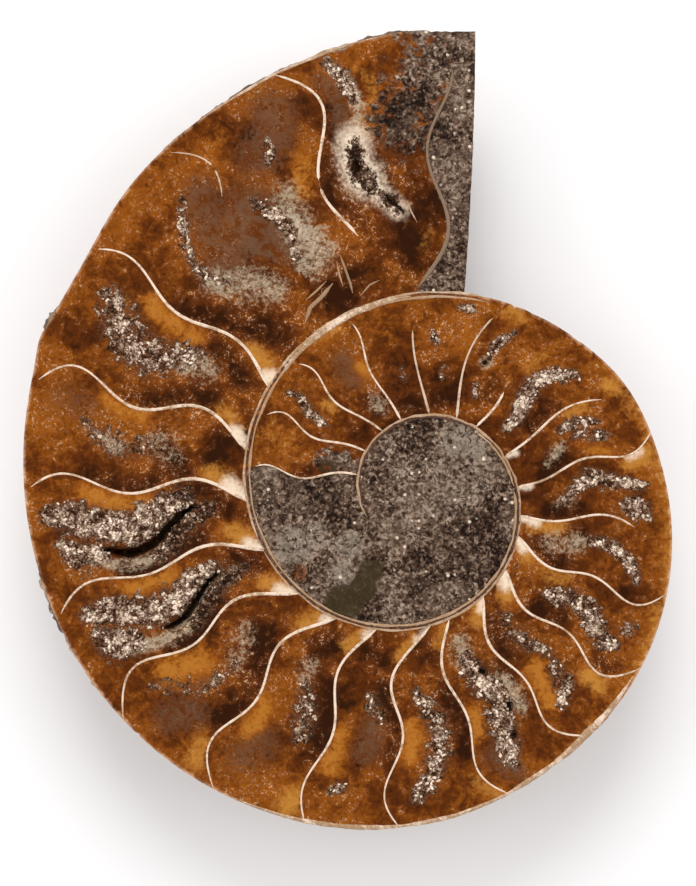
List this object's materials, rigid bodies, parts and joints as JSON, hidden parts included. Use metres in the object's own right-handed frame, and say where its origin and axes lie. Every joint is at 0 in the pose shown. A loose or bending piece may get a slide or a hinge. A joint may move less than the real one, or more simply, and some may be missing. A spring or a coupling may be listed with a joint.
{
  "type": "ammonite fossil half",
  "caption": "Half of a coiled fossil shell, sawn along its middle plane and polished; it lies on its ribbed flank with the polished face level and up.",
  "frame": {"origin": "on the surface the fossil lies on, under the middle of its outline", "axes": "+Z out of the polished face, +Y along the longest width towards the sawn mouth, +X across"},
  "size_m": [0.0812, 0.1, 0.0145],
  "materials": {
    "fossil_stone": "polished calcite face, dull shell back"
  },
  "bodies": {
    "root": {"ammonite_half": "fossil_stone"}
  },
  "joints": []
}
